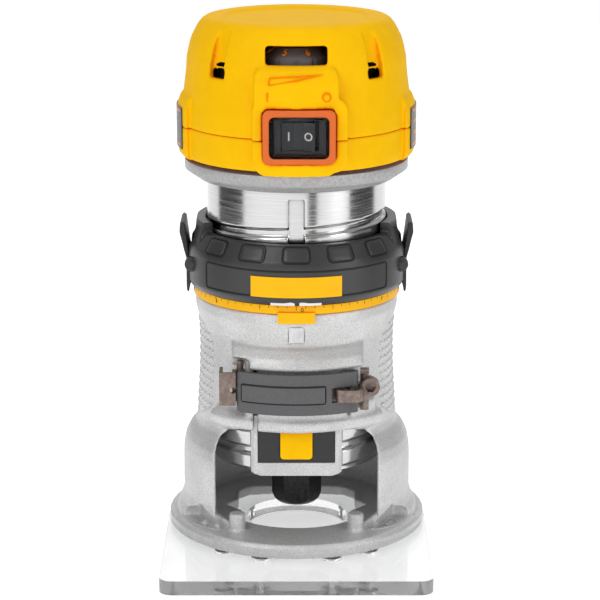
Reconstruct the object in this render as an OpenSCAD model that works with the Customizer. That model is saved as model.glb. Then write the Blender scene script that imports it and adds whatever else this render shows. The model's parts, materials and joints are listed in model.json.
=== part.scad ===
// Trim router: a motor in a straight can that is screwed up and down in a cast fixed base.
// Origin on the spindle axis at the bottom face of the clear sub-base. +X right, +Y back, +Z up.

/* [Motor] */
// Outer radius of the machined motor can
can_r = 34.5; // [34:0.1:35]
// Wall of the motor can
can_wall = 3; // [2.5:0.1:3.5]
// Rise of the adjusting thread in one turn
thread_pitch = 9.5; // [9:0.1:10]
// Depth of the adjusting thread
thread_depth = 1.2; // [1:0.1:1.4]
// Radius of the shank that the collet holds
shank_r = 3.175; // [3:0.005:3.2]
// Width across the flats of the collet nut
nut_af = 17; // [16:0.5:19]

/* [Base] */
// Thickness of the clear sub-base
plate_t = 5.5; // [5:0.1:6]
// Half width of the sub-base
plate_r = 51; // [50.6:0.1:53]
// Distance from the axis to the straight front edge of the sub-base
plate_front = 72.8; // [68:0.1:80]
// Radius of the centre opening of the sub-base
guide_r = 20; // [18:0.1:21]
// Radius of the flange of the casting
flange_r = 50.3; // [49:0.1:50.5]
// Radial clearance of the can in the base
slide_gap = 0.08; // [0.05:0.01:0.1]
// Radius of the edge guide holes
edge_hole_r = 1.6; // [1.4:0.1:1.8]

/* [Adjusting ring] */
// Outer radius of the upright band of the ring
ring_r = 42.4; // [42:0.1:42.6]
// Radius of the yellow depth scale
scale_r = 40; // [39.6:0.1:40.2]

/* [Cap] */
// Height of the seam between the two halves of the cap
seam_z = 165; // [163:0.5:167]
// Width of the window over the speed dial
dial_window_w = 22.6; // [20:0.1:24]

/* [Hidden] */
$fn = 96;
gap = 0.3;
run = 0.06;
can_bottom = 34;
bell_z = 143.6;
bell_top = 153;
groove_front_z = 128.5;
bore_r = can_r + slide_gap;
inner_r = can_r - can_wall;
flange_top = 10.7;
recess_depth = 0.8;
edge_holes = [[36.2, -23.6], [30.4, -28.4]];
skirt_r = 44.6;
skirt_in = 40;
neck_r = 37.5;
neck_top = 108;
seat_z = 98.4;
bulge_r = 41.2;
boss_w = 17.3;
boss_y = 36;
boss_top = 58;
pin_x = 21;
pin_y = -39.2;
link_pin_x = -21.2;
link_pin_y = -35.4;
link_pin_r = 1.3;
lever_r = 46;
lever_t = 1.7;
tab_pivot_x = 39.9;
tab_pivot_z = 111.9;
lower_bearing_z = 36;
nose_top = 50.4;
rocker_x = 1.35;
rocker_y = -40.5;
dial_y = -22.6;
dial_r = 13;
plate_screws = [17, 37, 140];
tooth_azimuths = [90, 210, 330];
cap_posts_at = [35, 145];

cast_grey = [0.78, 0.78, 0.79];
black = [0.16, 0.16, 0.17];
dark_grey = [0.27, 0.27, 0.28];
yellow = [1.0, 0.76, 0.0];
steel = [0.7, 0.7, 0.72];
bronze = [0.48, 0.4, 0.36];
copper = [0.72, 0.43, 0.2];

// Height of the thread's centre at an azimuth measured from +X, for the turn nearest the front
function thread_z(a) = groove_front_z + thread_pitch * (a - 270) / 360;

// Tube between two radii and two heights
module tube(r_out, r_in, z0, z1) {
    translate([0, 0, z0]) difference() {
        cylinder(r = r_out, h = z1 - z0);
        translate([0, 0, -1]) cylinder(r = r_in, h = z1 - z0 + 2);
    }
}

// Disc between two heights
module disc(r, z0, z1) {
    translate([0, 0, z0]) cylinder(r = r, h = z1 - z0);
}

// Box given by its two corners
module box(a, b) {
    translate(a) cube(b - a);
}

// Plain cylinder at a point, along an axis
module rod_z(p, r, h) { translate(p) cylinder(r = r, h = h, $fn = 48); }
module rod_y(p, r, h) { translate(p) rotate([-90, 0, 0]) cylinder(r = r, h = h, $fn = 48); }
module rod_x(p, r, h) { translate(p) rotate([0, 90, 0]) cylinder(r = r, h = h, $fn = 48); }

// Rounded rectangle in the plane, centred
module round_rect(w, h, r) {
    square([w - 2 * r, h], center = true);
    square([w, h - 2 * r], center = true);
    for (x = [-1, 1], y = [-1, 1]) translate([x * (w / 2 - r), y * (h / 2 - r)]) circle(r = r, $fn = 40);
}

// Prism that faces the front: its outline in X and Z, from one Y to another
module front_prism(y0, y1) {
    translate([0, y1, 0]) rotate([90, 0, 0]) linear_extrude(y1 - y0) children();
}

// Wedge around the axis, its middle at an azimuth measured from +X, for cutting sectors
module wedge(mid, half, r, z0, z1) {
    rotate([0, 0, mid]) translate([0, 0, z0]) linear_extrude(z1 - z0)
        polygon([[0, 0], for (k = [-2:2]) r * [cos(k * half / 2), sin(k * half / 2)]]);
}

// Bar of the thread's shape, for cutting it: a sector of a ring, twisted one turn in each pitch
module thread_bar(r0, r1, width, z0, z1) {
    half = 180 * width / thread_pitch;
    turns = (z1 - z0) / thread_pitch;
    translate([0, 0, z0]) rotate([0, 0, 270 + (z0 - groove_front_z) * 360 / thread_pitch])
        linear_extrude(z1 - z0, twist = -360 * turns, slices = ceil(16 * turns), $fn = 16) polygon([
            for (k = [-2:2]) r1 * [cos(k * half / 2), sin(k * half / 2)],
            for (k = [3:-1:-3]) r0 * [cos(k * half / 3), sin(k * half / 3)]]);
}

// Coil drawn as closed turns of round wire along +Z
module coil(r, wire, turns, pitch) {
    for (i = [0:turns - 1]) translate([0, 0, i * pitch]) rotate_extrude($fn = 32)
        translate([r, 0]) circle(r = wire, $fn = 16);
}

// ---------------------------------------------------------------- base casting

// Section of the casting through its wall, before any window is cut
module casting_section() {
    polygon([[skirt_in, plate_t], [flange_r, plate_t], [flange_r, flange_top - 1.2],
        [47.6, flange_top - 1.2], [47.2, 12.4], [45.6, 15.4], [skirt_r, 19], [skirt_r, 33], [44.4, 37],
        [43.6, 41], [42, 44.2], [39.6, 46.8], [38.8, 50], [38.6, 56], [37.8, 68], [37.6, 78], [37.8, 86],
        [38.5, 91], [39.2, 94], [39.2, seat_z], [neck_r, seat_z], [neck_r, 102.6], [36.2, 103],
        [36.2, 106.2], [neck_r, 106.6], [neck_r, neck_top], [bore_r, neck_top], [bore_r, 46],
        [36.4, 44], [38.6, 41], [skirt_in, 36]]);
}

// Outline of the window at the front between the two legs
module window_outline() {
    half_w = 31.2;
    corner = 13;
    top = 52.6;
    translate([-half_w, plate_t - 1]) square([2 * half_w, top - corner - plate_t + 1]);
    translate([-half_w + corner, plate_t]) square([2 * (half_w - corner), top - plate_t]);
    for (s = [-1, 1]) translate([s * (half_w - corner), top - corner]) circle(r = corner, $fn = 64);
}

// Star shaped opening through the flange
module star_outline() {
    half = [[0, 23.7], [10, 23.7], [19, 22.4], [23.4, 17.5], [23.4, 7], [28, 1], [21.6, -6],
        [20.5, -15.4], [13, -15.4]];
    polygon(concat(half, [for (i = [len(half) - 1:-1:0]) [-half[i][0], half[i][1]]]));
    intersection() {
        circle(r = 25.7);
        translate([-21, -27]) square([42, 27]);
    }
}

// Lip over the window, the ledge over the lever and the thick wall between them
module front_bulge() {
    intersection() {
        tube(bulge_r, bore_r + 0.5, 53, 83);
        box([-19.3, -50, 53], [19.3, -20, 83]);
    }
    intersection() {
        rotate_extrude() polygon([[36, 49], [40.6, 51.4], [42.2, 53.4], [42.4, 56.2], [41, 58], [36, 59]]);
        wedge(270, 52, 70, 40, 70);
    }
    intersection() {
        rotate_extrude() polygon([[36, 85.4], [39.4, 84.8], [42.6, 81.6], [44, 78.6], [43.6, 77.3],
            [42.4, 77], [36, 77]]);
        box([-24.5, -60, 70], [25.4, -20, 90]);
        difference() {
            box([-60, -60, 70], [60, 0, 90]);
            box([-26, -60, 70], [-17.6, -33.2, 81]);
        }
    }
    intersection() {
        tube(41.2, 36, 57.5, 63);
        box([20.5, -50, 57.5], [30, -20, 63]);
    }
}

// Space for the spindle lock boss as the motor rises
module boss_slot() {
    intersection() {
        disc(39.85, 40, 81.4);
        box([-17.8, -36.5, 40], [17.8, -10, 81.4]);
    }
}

module flange() {
    difference() {
        union() {
            disc(flange_r, plate_t, flange_top - 1.2);
            intersection() {
                disc(49.4, plate_t, flange_top);
                box([-46.7, -60, 0], [46.7, -15.4, 20]);
            }
        }
        linear_extrude(20) star_outline();
        translate([0, 0, 8.2]) intersection() {
            cylinder(r = 29.5, h = 10);
            box([-21, -40, 0], [21, -15.4, 10]);
        }
        guide_recess();
    }
}

// Recess round each pair of edge guide holes
module guide_recess() {
    for (s = [-1, 1]) translate([s * 33.2, -26, flange_top - recess_depth]) rotate([0, 0, s * 39])
        linear_extrude(2) round_rect(12.6, 6.4, 3);
}

// Front view of the ridge that falls from a leg to its post, lowered by a step
module leg_gusset(s, drop) {
    front_prism(-60, -10) polygon([[s * 22, plate_t], [s * 22, 12 - drop], [s * 30, 14.4 - drop],
        [s * 37, 18.4 - drop], [s * 37, plate_t]]);
}

// What is cut from the foot of each leg: the room over the holes and the holes themselves
module leg_foot_cuts() {
    difference() {
        union() {
            for (s = [-1, 1]) front_prism(-60, -15.4) polygon([[s * 30, flange_top], [s * 30, 14.4],
                [s * 36.8, 18.4], [s * 47.4, flange_top + 0.6], [s * 47.4, flange_top]]);
            guide_recess();
        }
        disc(skirt_in + 0.7, 0, 40);
    }
    for (s = [-1, 1], p = edge_holes) rod_z([s * p[0], p[1], 0], edge_hole_r, flange_top + 2);
}

module base_casting() {
    color(cast_grey) difference() {
        union() {
            difference() {
                union() {
                    rotate_extrude() casting_section();
                    front_bulge();
                }
                front_prism(-70, -12) window_outline();
                boss_slot();
                box([-16.2, -60, 50], [-14.6, -30, 76.4]);
            }
            flange();
            for (s = [-1, 1]) {
                rod_z([s * 22.8, -32, plate_t + 1], 3.1, 11.2);
                intersection() {
                    tube(39.9, 37.9, plate_t + 1, 20);
                    leg_gusset(s, 0);
                }
                intersection() {
                    tube(38, 36.2, plate_t + 1, 20);
                    leg_gusset(s, 2);
                }
            }
        }
        for (a = plate_screws, s = [-1, 1]) rotate([0, 0, -90 + s * a])
            rod_z([45.6, 0, plate_t - 1], 1.75, 5);
        box([-2.9, -46, 86.9], [2.9, -34, 93.1]);
        leg_foot_cuts();
    }
}

module sub_base() {
    color([0.85, 0.9, 0.92, 0.4]) difference() {
        linear_extrude(plate_t) {
            circle(r = plate_r);
            translate([-plate_r, -plate_front + 5]) square([2 * plate_r, plate_front - 5]);
            translate([-plate_r + 5, -plate_front]) square([2 * plate_r - 10, 10]);
            for (s = [-1, 1]) translate([s * (plate_r - 5), -plate_front + 5]) circle(r = 5, $fn = 48);
        }
        translate([0, 0, -1]) cylinder(r = guide_r, h = plate_t + 2);
        for (a = plate_screws, s = [-1, 1]) rotate([0, 0, -90 + s * a]) {
            rod_z([45.6, 0, -1], 2, plate_t + 2);
            rod_z([45.6, 0, -1], 4, 3.6);
        }
    }
}

module sub_base_screws() {
    color(steel) for (a = plate_screws, s = [-1, 1]) rotate([0, 0, -90 + s * a]) difference() {
        union() {
            rod_z([45.6, 0, 0.5], 3.7, 2.1);
            rod_z([45.6, 0, 2.6], 1.7, 6.4);
        }
        rod_z([45.6, 0, 0], 1.4, 1.6);
    }
}

// Key in the barrel that runs in the upright groove of the can
module guide_pin() {
    color(steel) difference() {
        box([-2.85, -38.3, 87], [2.85, -33.4, 93]);
        tube(60, 38.2, 80, 100);
    }
}

module scale_ring() {
    color(yellow) {
        tube(scale_r, neck_r + run, 98.7, 102);
        intersection() {
            tube(scale_r + 0.9, 39.5, 95.2, 99.4);
            box([-7, -60, 90], [7, -30, 110]);
        }
    }
}

// ---------------------------------------------------------------- clamp

// Long link behind the lever: wrapped round the left pin, with an eye for the lever's pin
module toggle_link() {
    color(bronze) difference() {
        union() {
            intersection() {
                tube(43.4, 42.2, 64, 76);
                box([-24, -60, 60], [12, -30, 80]);
            }
            intersection() {
                tube(43.4, 42.2, 66, 70.6);
                box([11.9, -60, 60], [pin_x - 1, -30, 80]);
            }
            rod_z([pin_x, pin_y, 66], 1.8, 4.6);
            box([-29, -41.2, 63.5], [-22.8, -39.9, 76.3]);
            box([-29, -41.2, 63.5], [-27.8, -32.6, 76.3]);
            box([-24.2, -41.2, 64], [-22.8, -35.4, 76]);
            rod_z([link_pin_x, link_pin_y, 64], link_pin_r + 0.6, 12);
        }
        rod_z([link_pin_x, link_pin_y, 60], link_pin_r + 0.02, 20);
        rod_z([pin_x, pin_y, 60], 0.93, 20);
        rod_y([-23.9, -44, 69.4], 1.2, 6);
    }
}

module lever_pin() {
    color(steel) rod_z([pin_x, pin_y, 61.4], 0.9, 14.6);
}

// Pin that the link's left end is wrapped round
module link_pin() {
    color(bronze) rod_z([link_pin_x, link_pin_y, 62.4], link_pin_r, 17.2);
}

// Hooked strap from the bar to the lever's slot
module clamp_strap() {
    z0 = 66;
    h = 4.7;
    color(bronze) translate([0, 0, z0]) {
        difference() {
            union() {
                translate([17, -43.5]) cylinder(r = 2.1, h = h, $fn = 48);
                box([17, -45.6, 0], [22, -44.5, h]);
                intersection() {
                    translate([21.9, -42.4]) cylinder(r = 3.2, h = h, $fn = 64);
                    box([21.9, -50, 0], [30, -42.4, h]);
                }
                box([24, -42.5, 0], [25.1, -36, h]);
                translate([25.8, -34.5]) cylinder(r = 2.8, h = h, $fn = 48);
            }
            translate([17, -43.5, -1]) cylinder(r = 1.1, h = h + 2, $fn = 48);
            translate([21.9, -42.4, -1]) cylinder(r = 2.1, h = h + 2, $fn = 64);
            translate([25.8, -34.5, -1]) cylinder(r = 1.7, h = h + 2, $fn = 48);
            rod_y([27.9, -40, 70.3 - z0], 1.75, 14);
            rod_y([27.9, -40.4, 70.3 - z0], 3.6, 4.2);
        }
    }
}

module clamp_bar() {
    color(bronze) difference() {
        union() {
            rod_z([25.8, -34.5, 60.2], 1.65, 16);
            box([24.2, -36.1, 74.6], [27.4, -32.9, 76.2]);
        }
        rod_y([27.9, -50, 70.3], 1.7, 30);
    }
}

// Socket screw that sets how tight the lever clamps
module clamp_screw() {
    color(bronze) difference() {
        union() {
            rod_y([27.9, -40, 70.3], 3.5, 3.8);
            rod_y([27.9, -36.3, 70.3], 1.6, 7.6);
        }
        translate([27.9, -40.1, 70.3]) rotate([-90, 0, 0]) cylinder(r = 2.1, h = 2.6, $fn = 6);
    }
}

module clamp_lever() {
    color(dark_grey) difference() {
        union() {
            intersection() {
                tube(lever_r, lever_r - lever_t, 60.9, 76.6);
                front_prism(-60, -30) difference() {
                    translate([0.75, 68.75]) round_rect(46.5, 15.7, 1.8);
                    translate([pin_x, 50]) square(40);
                }
            }
            intersection() {
                tube(lever_r + 0.5, lever_r - 1, 65.7, 71.7);
                box([-20.5, -60, 50], [10.7, -30, 90]);
            }
            rod_z([pin_x, pin_y, 60.9], 2.25, 15.7);
        }
        rod_z([pin_x, pin_y, 60], 0.9 + run, 20);
        box([13.3, -60, 65.4], [30, -30, 71.2]);
        intersection() {
            disc(41.9, 55, 80);
            box([-30, -60, 50], [16.8, -30, 90]);
        }
    }
}

// ---------------------------------------------------------------- adjusting ring

module ring_section() {
    polygon([[neck_r + gap, 102.4], [41, 102.4], [ring_r, 104.7], [ring_r, 116.8], [42, 118.7],
        [38.4, 124.5], [bore_r + 0.3, 124.5], [bore_r + 0.3, neck_top + 0.4],
        [neck_r + gap, neck_top + 0.4]]);
}

module adjusting_ring() {
    pads = 20;
    color(dark_grey) difference() {
        union() {
            rotate_extrude() ring_section();
            for (s = [0, 180]) rotate([0, 0, s]) intersection() {
                rotate_extrude() polygon([[35.1, 120], [41, 119.6], [39.6, 126.6], [38.6, 128.2],
                    [35.1, 128.4]]);
                wedge(0, 25, 70, 110, 140);
            }
        }
        for (s = [0, 180]) rotate([0, 0, s]) {
            box([40.3, -9.4, 100], [50, 9.4, 130]);
            box([38.5, -9.4, 114], [50, 9.4, 130]);
            rod_y([tab_pivot_x, -9.4, tab_pivot_z], 2.9, 18.8);
            box([35, -5.6, 101], [45, 5.6, 107.4]);
            rod_y([tab_pivot_x, -20, tab_pivot_z], 1.05, 40);
        }
        for (s = [-1, 1]) box([s < 0 ? -7.4 : 1, -46, 101], [s < 0 ? -1 : 7.4, -41.4, 104.2]);
        for (i = [0:pads - 1]) if (abs(sin(i * 360 / pads)) < 0.93) rotate([0, 0, 270 + i * 360 / pads])
            translate([40.2, 0, 121.6]) rotate([0, 58, 0])
                translate([0, 0, 1.1]) cube([4.6, 8.4, 1.2], center = true);
        for (a = tooth_azimuths) rotate([0, 0, a])
            rod_x([can_r - 1.5, 0, thread_z(a) - thread_pitch], 1.25, 4.1);
    }
}

// Teeth of the ring that run in the thread of the can
module thread_teeth() {
    color(steel) for (a = tooth_azimuths) rotate([0, 0, a])
        rod_x([can_r - 0.8, 0, thread_z(a) - thread_pitch], 1.2, 3.3);
}

// Plain plate in the front panel of the ring
module ring_plate() {
    color(yellow) intersection() {
        tube(ring_r + 0.35, ring_r + 0.02, 105.6, 113.4);
        box([-17, -60, 100], [17, -30, 120]);
    }
}

module tab_pins() {
    color(steel) for (s = [-1, 1]) rod_y([s * tab_pivot_x, -14, tab_pivot_z], 1, 28);
}

module tab_springs() {
    color(steel) for (s = [-1, 1]) translate([s * tab_pivot_x, -2.4, tab_pivot_z]) rotate([-90, 0, 0])
        coil(1.75, 0.4, 6, 0.95);
}

// Pinch tab at +X, with a hook that catches under the neck of the base
module release_tab() {
    difference() {
        union() {
            rotate([90, 0, 0]) translate([0, 0, -9]) linear_extrude(18)
                polygon([[41.4, 99.4], [42.2, 100], [42.4, 102], [42.4, 113], [43.3, 116.4],
                    [44, 119.6], [44.9, 123], [44.7, 126.5], [43.8, 127.3], [42.8, 126.6],
                    [42.4, 123], [41.6, 117], [40.7, 112], [40.7, 102.6], [41.2, 102.2]]);
            box([36.9, -5.2, 103.3], [41.5, 5.2, 105.6]);
            rod_y([tab_pivot_x, -9, tab_pivot_z], 2.5, 18);
        }
        rod_y([tab_pivot_x, -20, tab_pivot_z], 1 + run, 40);
        rod_y([tab_pivot_x, -3.4, tab_pivot_z], 2.4, 6.8);
        disc(36.6, 100, 130);
    }
}
module release_tab_right() { color(black) release_tab(); }
module release_tab_left() { color(black) mirror([1, 0, 0]) release_tab(); }

// ---------------------------------------------------------------- motor

module motor_can() {
    color([0.82, 0.82, 0.83]) difference() {
        rotate_extrude() polygon([[inner_r, can_bottom + 0.2], [33.6, can_bottom + 0.2],
            [can_r, can_bottom + 1.4], [can_r, bell_z + 1.6], [35.6, bell_z], [38, bell_z + 0.8],
            [42.8, 147.8], [42.8, bell_top - 1.6], [40.2, bell_top - 1.6], [39.6, bell_top],
            [36, bell_top], [36, bell_top - 3], [inner_r, bell_top - 3]]);
        thread_bar(can_r - thread_depth, can_r + 2, 3.1, 32.6, 132.9);
        box([-3, -36, boss_top - 1], [3, -can_r + 1.6, 141]);
        box([-boss_w - 0.2, -40, can_bottom - 1], [boss_w + 0.2, -20, boss_top + 0.2]);
        for (a = [40, 140, 220, 320]) rotate([0, 0, a]) box([40, -5, 150], [50, 5, 160]);
    }
}

// Cast nose that closes the can, holds the lower bearing and carries the spindle lock
module motor_nose() {
    color(cast_grey) difference() {
        union() {
            disc(inner_r - 0.05, can_bottom, can_bottom + 4.4);
            tube(17, 10, can_bottom, nose_top);
            front_prism(-boss_y, -24.5) polygon([[-boss_w, 35.4], [-13.6, can_bottom], [13.6, can_bottom],
                [boss_w, 35.4], [boss_w, boss_top], [-boss_w, boss_top]]);
        }
        for (s = [-1, 1]) translate([s * boss_w, -boss_y, 30]) rotate([0, 0, 45])
            cube([1.7, 1.7, 80], center = true);
        box([-14.8, -40, 39.1], [14.8, -33.2, 55.5]);
        box([-7, -40, 40.2], [7, -27.2, 53]);
        rod_y([0, -40, 46.6], 2.2, 40);
        rod_y([0, -40, 46.6], 3.6, 17.6);
        disc(13.06, lower_bearing_z, 60);
        disc(9.2, 30, 60);
        disc(13.7, 30, can_bottom + 1.4);
    }
}

module bearing_seal() {
    color(black) tube(13.5, 9, can_bottom - 0.6, can_bottom + 1.3);
}

module lock_panel() {
    color(black) difference() {
        front_prism(-boss_y + 0.5, -33.3) translate([0, 47.3]) square([29.4, 16.2], center = true);
        front_prism(-40, -30) translate([0, 46.6]) round_rect(12.7, 12.3, 1.6);
    }
}

module lock_button() {
    color(yellow) {
        front_prism(-boss_y - 0.4, -31) translate([0, 46.6]) round_rect(12.2, 11.8, 1.4);
        rod_y([0, -31.2, 46.6], 2.1, 22.6);
    }
}

module lock_spring() {
    color(steel) translate([0, -30.4, 46.6]) rotate([-90, 0, 0]) coil(2.85, 0.45, 6, 1.4);
}

module stator() {
    color(steel) difference() {
        tube(inner_r - 0.4, 18.2, 66, 108);
        for (s = [-1, 1]) box([-10, s > 0 ? 24.5 : -40, 60], [10, s > 0 ? 40 : -24.5, 120]);
    }
    color(copper) for (z = [61, 108.2]) difference() {
        tube(28, 20, z, z + 4.8);
        for (s = [-1, 1]) box([s > 0 ? 12 : -40, -40, z - 1], [s > 0 ? 40 : -12, 40, z + 6]);
    }
}

module bearing(r_out, r_in, z0, z1) {
    color(steel) {
        tube(r_out, r_out - 1.8, z0, z1);
        tube(r_in + 1.6, r_in, z0, z1);
        mid = (r_out - 1.8 + r_in + 1.6) / 2;
        ball = (r_out - 1.8 - r_in - 1.6) / 2;
        for (i = [0:7]) rotate([0, 0, i * 45]) translate([mid, 0, (z0 + z1) / 2])
            sphere(r = ball - 0.03, $fn = 24);
    }
}
module lower_bearing() { bearing(13, 7.64, lower_bearing_z + 0.1, lower_bearing_z + 7.7); }
module upper_bearing() { bearing(9.5, 4.04, 150.6, 156.6); }

// Bridge across the top of the can: holds the upper bearing and the brush gear
module brush_bridge() {
    color(black) difference() {
        union() {
            tube(35.8, 12, bell_top - 2.9, 158);
            tube(31.3, 27.6, 118, bell_top - 2.9);
            disc(13.5, 149, 159.4);
        }
        disc(9.56, 150.5, 157);
        disc(6, 140, 170);
        for (a = [0:60:300]) rotate([0, 0, a + 30]) box([16, -4, 145], [25, 4, 165]);
        for (a = cap_posts_at, s = [-1, 1]) rotate([0, 0, s * a]) rod_z([37.2, 0, bell_top - 0.2], 3.5, 8);
        for (s = [-1, 1]) box([-40, s > 0 ? 12 : -40, 117], [40, s > 0 ? 40 : -12, 149.9]);
        for (s = [-1, 1]) box([s > 0 ? 20 : -40, -5.2, 123.8], [s > 0 ? 40 : -20, 5.2, 136.2]);
    }
}

module brush_tubes() {
    color([0.75, 0.6, 0.3]) for (s = [0, 180]) rotate([0, 0, s]) difference() {
        box([14.5, -5, 124], [31, 5, 136]);
        box([13, -3.8, 125.6], [29.6, 3.8, 134.4]);
    }
}

module brushes() {
    color([0.2, 0.2, 0.2]) for (s = [0, 180]) rotate([0, 0, s]) difference() {
        box([11, -3.6, 125.8], [22, 3.6, 134.2]);
        disc(11.6, 120, 140);
    }
}

module brush_springs() {
    color(steel) for (s = [0, 180]) rotate([0, 0, s]) translate([22.7, 0, 130]) rotate([0, 90, 0])
        coil(2.4, 0.4, 6, 1.2);
}

// ---------------------------------------------------------------- cap

function cap_outer() = [[43, 152.8], [43.4, 156], [43.4, 172], [42.9, 178], [42, 185], [41.6, 190.5],
    [40.6, 195], [39.8, 197.6], [38.6, 200], [37.4, 202.2], [36, 204], [34.4, 205.1], [32, 205.6],
    [27.4, 205.4], [26.2, 204.5], [0, 204.2]];

module cap_solid() {
    rotate_extrude() polygon(concat([[0, 152.8]], cap_outer()));
    for (s = [-1, 1]) {
        intersection() {
            rotate_extrude() polygon([[36, 151.6], [42.9, 151.6], [45, 154.4], [45.3, 157], [45.3, 172.6],
                [44.2, 175.6], [42.4, 177.6], [36, 178]]);
            wedge(90 + s * 90, 24, 80, 140, 190);
        }
    }
    intersection() {
        rotate_extrude() polygon([[30, 152], [46.2, 152], [46.8, 156], [46.8, 180], [46, 186],
            [44, 190.4], [40.6, 192.4], [30, 192.4]]);
        front_prism(-60, -30) {
            translate([0, 172]) round_rect(31, 40.4, 5);
            translate([rocker_x, 166.8]) round_rect(35, 27.4, 5);
        }
    }
    rod_y([0, 34, 176], 8, 11);
}

module cap_hollow() {
    rotate_extrude() polygon([[0, 150], [40.2, 150], [40.4, 172], [39.6, 183], [38.8, 190],
        [37.4, 194.6], [35, 198.6], [32.4, 200.8], [28, 201.6], [0, 201.6]]);
    box([-13.8, -43.9, 156.6], [13.8, -30, 177]);
    intersection() {
        disc(44, 150, 157);
        box([-60, -60, 150], [60, 60, 151.5]);
    }
}

// Scoops of the air inlets, each open at its lower end
module vents() {
    for (a = [45, 135, 225, 315]) rotate([0, 0, a]) {
        hull() {
            box([39.7, -4, 186], [50, 4, 187]);
            box([36.6, -3, 202], [50, 3, 204]);
        }
        box([30, -4, 185.6], [50, 4, 188.6]);
    }
}

module cap_openings() {
    front_prism(-60, -30) translate([0, 195.3]) square([dial_window_w, 6.8], center = true);
    front_prism(-60, -40) translate([rocker_x - 0.3, 166.8]) round_rect(27, 20.2, 2.6);
    rod_y([0, 30, 176], 6.1, 20);
    vents();
    for (a = cap_posts_at, s = [-1, 1]) rotate([0, 0, s * a]) rod_z([37.2, 0, 140], 1.75, 45);
}

// Screw posts inside the cap
module cap_posts(z0, z1) {
    for (a = cap_posts_at, s = [-1, 1]) rotate([0, 0, s * a]) rod_z([37.2, 0, z0], 3.3, z1 - z0);
}

module cap_shell() {
    difference() {
        union() {
            difference() {
                cap_solid();
                cap_hollow();
            }
            intersection() {
                cap_posts(153, 182);
                cap_solid();
            }
        }
        cap_openings();
        difference() {
            box([-60, -60, 140], [60, 60, bell_top - 0.05]);
            box([-15.5, -60, 140], [15.5, -43.1, 160]);
            for (s = [-1, 1]) box([s > 0 ? 43.1 : -60, -30, 140], [s > 0 ? 60 : -43.1, 30, 160]);
        }
    }
}

module lower_housing() {
    color(yellow) intersection() {
        cap_shell();
        box([-80, -80, 140], [80, 80, seam_z - 0.05]);
    }
}

module upper_cap() {
    color(yellow) difference() {
        cap_shell();
        box([-80, -80, 140], [80, 80, seam_z]);
    }
}

module cap_screws() {
    color(steel) for (a = cap_posts_at, s = [-1, 1]) rotate([0, 0, s * a])
        rod_z([37.2, 0, bell_top + 0.1], 1.6, 24);
}

module switch_bezel() {
    color([0.86, 0.38, 0.1]) difference() {
        front_prism(-47.6, -43.8) translate([rocker_x - 0.3, 166.8]) round_rect(26.6, 19.8, 2.4);
        front_prism(-50, -40) translate([rocker_x - 0.3, 166.6]) round_rect(22, 15.4, 2);
    }
}

// Clear rubber boot over the rocker
module switch_boot() {
    color([0.8, 0.85, 0.85, 0.4]) difference() {
        front_prism(-48, -43.8) translate([rocker_x - 0.3, 166.6]) round_rect(21.6, 15, 2.4);
        front_prism(-47.2, -40) translate([rocker_x - 0.3, 166.6]) round_rect(20, 13.4, 1.8);
    }
}

module switch_body() {
    color(black) difference() {
        box([rocker_x - 9.4, -43.6, 160], [rocker_x + 9.4, -24, 173.4]);
        box([rocker_x - 6.9, -50, 161.2], [rocker_x + 6.9, -36, 172.2]);
        rod_z([rocker_x, rocker_y, 159.9], 1.2 + run, 13.6);
    }
}

module switch_rocker() {
    color(black) translate([rocker_x, rocker_y, 0]) rotate([0, 0, -7]) {
        translate([0, 0, 161.6]) linear_extrude(10.2)
            polygon([[-6, -4.9], [-2, -3.6], [2, -3.6], [6, -4.9], [5.2, 1.6], [-5.2, 1.6]]);
        rod_z([0, 0, 160.2], 1.2, 13);
    }
}

// Circuit board and the turning resistor under the dial
module speed_module() {
    color([0.1, 0.35, 0.2]) difference() {
        box([-20, -34, 183], [20, 16, 184.8]);
        tube(90, 37.2, 180, 190);
    }
    color(black) {
        rod_z([0, dial_y, 184.8], 5, 3.4);
        rod_z([0, dial_y, 188.2], 2, 5);
        box([-16, -2, 184.8], [-2, 12, 196]);
    }
}

// Inner wall behind the air inlets, open at the front for the dial
module air_baffle() {
    color(black) difference() {
        tube(35.2, 33.6, 184.8, 196);
        box([-16, -60, 180], [16, -20, 200]);
    }
}

module speed_dial() {
    color(black) translate([0, dial_y, 0]) difference() {
        translate([0, 0, 189]) rotate_extrude() polygon([[0, 0], [dial_r, 0], [dial_r, 4],
            [dial_r - 1.2, 5.2], [8, 8], [0, 8]]);
        rod_z([0, 0, 180], 2 + run, 14);
        for (i = [0:11]) rotate([0, 0, i * 30]) rod_z([dial_r + 0.3, 0, 188], 0.9, 8);
    }
}

module label(mid) {
    intersection() {
        tube(45.75, 45.32, 156.6, 172.2);
        wedge(mid, 19, 80, 150, 180);
    }
}
module label_right() { color([0.2, 0.21, 0.22]) label(0); }
module label_left() { color([0.2, 0.21, 0.22]) label(180); }

module cord_grommet() {
    color(black) difference() {
        union() {
            rod_y([0, 36.5, 176], 6, 10);
            rod_y([0, 45.1, 176], 7.4, 2);
        }
        rod_y([0, 30, 176], 4, 20);
    }
}

// ---------------------------------------------------------------- spindle

module spindle() {
    color(steel) difference() {
        union() {
            disc(7.6, 26, 43.9);
            disc(8, 43.9, 51);
            disc(5, 51, 149);
            disc(4, 149, 158);
        }
        translate([0, 0, 25]) cylinder(r = 5.2, h = 12);
        for (a = [0, 90]) rotate([0, 0, a]) rod_y([0, -10, 46.6], 2.3, 20);
        rotate_extrude() polygon([[8.6, 45], [7.6, 45.4], [7.6, 47.8], [8.6, 48.2]]);
    }
}

module armature() {
    color(steel) difference() {
        tube(17.6, 5.02, 66, 108);
        for (i = [0:11]) rotate([0, 0, i * 30]) box([14, -0.8, 60], [20, 0.8, 120]);
    }
    color(copper) for (z = [60.5, 108.1]) tube(15.6, 5.1, z, z + 5.4);
}

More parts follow.
